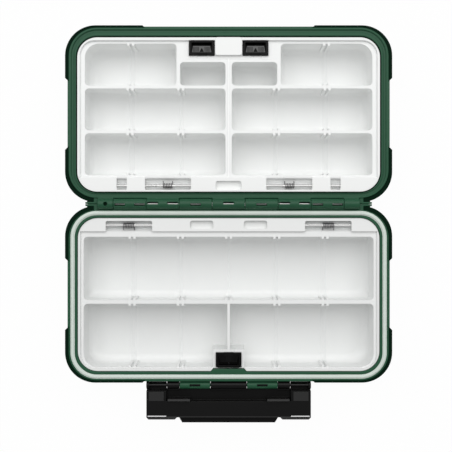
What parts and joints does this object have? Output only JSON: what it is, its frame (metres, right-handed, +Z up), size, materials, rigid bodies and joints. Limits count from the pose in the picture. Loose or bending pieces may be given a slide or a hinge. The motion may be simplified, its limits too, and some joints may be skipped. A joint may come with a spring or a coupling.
{
  "type": "two-sided waterproof lure box",
  "caption": "Hinged clamshell tackle box, open flat: green shells with a seal, white compartment trays, clear inner covers with push latches, clear dividers and a wide front latch.",
  "frame": {"origin": "middle of the open box's outline, on the surface that it rests on", "axes": "+Z up; +Y from the main latch towards the lid, across the case hinge; +X along the case hinge, to the right seen from the latch"},
  "size_m": [0.2124, 0.259, 0.0329],
  "materials": {
    "shell_green": "satin moulded plastic, dark green",
    "guard_dark": "matt moulded plastic, very dark green",
    "seal_pale": "matt pale greenish rubber",
    "tray_white": "satin white plastic",
    "cover_clear": "clear plastic",
    "divider_clear": "clear plastic",
    "steel": "bright drawn wire and pins",
    "latch_black": "satin black plastic",
    "slider_grey": "matt dark grey plastic"
  },
  "bodies": {
    "base": {"base_shell": "shell_green", "base_corner_guards": "guard_dark", "seal": "seal_pale", "hinge_pin": "steel", "main_latch_pin": "steel", "base_tray": "tray_white", "base_hinge_strip": "tray_white", "base_cover_pin_left": "steel", "base_cover_pin_right": "steel", "base_torsion_spring_left": "steel", "base_torsion_spring_right": "steel", "base_latch_housing": "latch_black", "base_latch_spring": "steel", "base_divider_1": "divider_clear", "base_divider_2": "divider_clear", "base_divider_3": "divider_clear", "base_divider_4": "divider_clear", "base_divider_5": "divider_clear", "base_divider_6": "divider_clear", "base_divider_7": "divider_clear", "base_divider_8": "divider_clear", "base_divider_9": "divider_clear"},
    "lid": {"lid_shell": "shell_green", "lid_corner_guards": "guard_dark", "lid_tray": "tray_white", "lid_hinge_strip": "tray_white", "lid_cover_pin_left": "steel", "lid_cover_pin_right": "steel", "lid_torsion_spring_left": "steel", "lid_torsion_spring_right": "steel", "lid_latch_housing_left": "latch_black", "lid_latch_housing_right": "latch_black", "lid_latch_spring_left": "steel", "lid_latch_spring_right": "steel", "lid_divider_1": "divider_clear", "lid_divider_2": "divider_clear", "lid_divider_3": "divider_clear", "lid_divider_4": "divider_clear", "lid_divider_5": "divider_clear", "lid_divider_6": "divider_clear", "lid_divider_7": "divider_clear", "lid_divider_8": "divider_clear", "lid_divider_9": "divider_clear", "lid_divider_10": "divider_clear"},
    "main_latch": {"main_latch": "latch_black"},
    "base_cover": {"base_cover": "cover_clear"},
    "lid_cover_left": {"lid_cover_left": "cover_clear"},
    "lid_cover_right": {"lid_cover_right": "cover_clear"},
    "base_slider": {"base_latch_slider": "slider_grey"},
    "lid_slider_left": {"lid_latch_slider_left": "slider_grey"},
    "lid_slider_right": {"lid_latch_slider_right": "slider_grey"}
  },
  "joints": [
    {"name": "lid_hinge", "type": "hinge", "parent": "base", "child": "lid", "pos_m": [0, 0.01355, 0.0295], "axis": [-1, 0, 0], "range_deg": [-180, 0]},
    {"name": "main_latch_hinge", "type": "hinge", "parent": "base", "child": "main_latch", "pos_m": [0, -0.10435, 0.026], "axis": [1, 0, 0], "range_deg": [-90, 0]},
    {"name": "base_cover_hinge", "type": "hinge", "parent": "base", "child": "base_cover", "pos_m": [0, -0.00035, 0.0265], "axis": [-1, 0, 0], "range_deg": [0, 95]},
    {"name": "lid_cover_left_hinge", "type": "hinge", "parent": "lid", "child": "lid_cover_left", "pos_m": [0, 0.02545, 0.0265], "axis": [1, 0, 0], "range_deg": [0, 95]},
    {"name": "lid_cover_right_hinge", "type": "hinge", "parent": "lid", "child": "lid_cover_right", "pos_m": [0, 0.02545, 0.0265], "axis": [1, 0, 0], "range_deg": [0, 95]},
    {"name": "base_slider_slide", "type": "slide", "parent": "base", "child": "base_slider", "axis": [0, -1, 0], "range_m": [0, 0.002], "stiffness_N_per_m": 150, "springref_m": -0.002, "deforming": ["base_latch_spring"]},
    {"name": "lid_slider_left_slide", "type": "slide", "parent": "lid", "child": "lid_slider_left", "axis": [0, 1, 0], "range_m": [0, 0.002], "stiffness_N_per_m": 150, "springref_m": -0.002, "deforming": ["lid_latch_spring_left"]},
    {"name": "lid_slider_right_slide", "type": "slide", "parent": "lid", "child": "lid_slider_right", "axis": [0, 1, 0], "range_m": [0, 0.002], "stiffness_N_per_m": 150, "springref_m": -0.002, "deforming": ["lid_latch_spring_right"]}
  ]
}
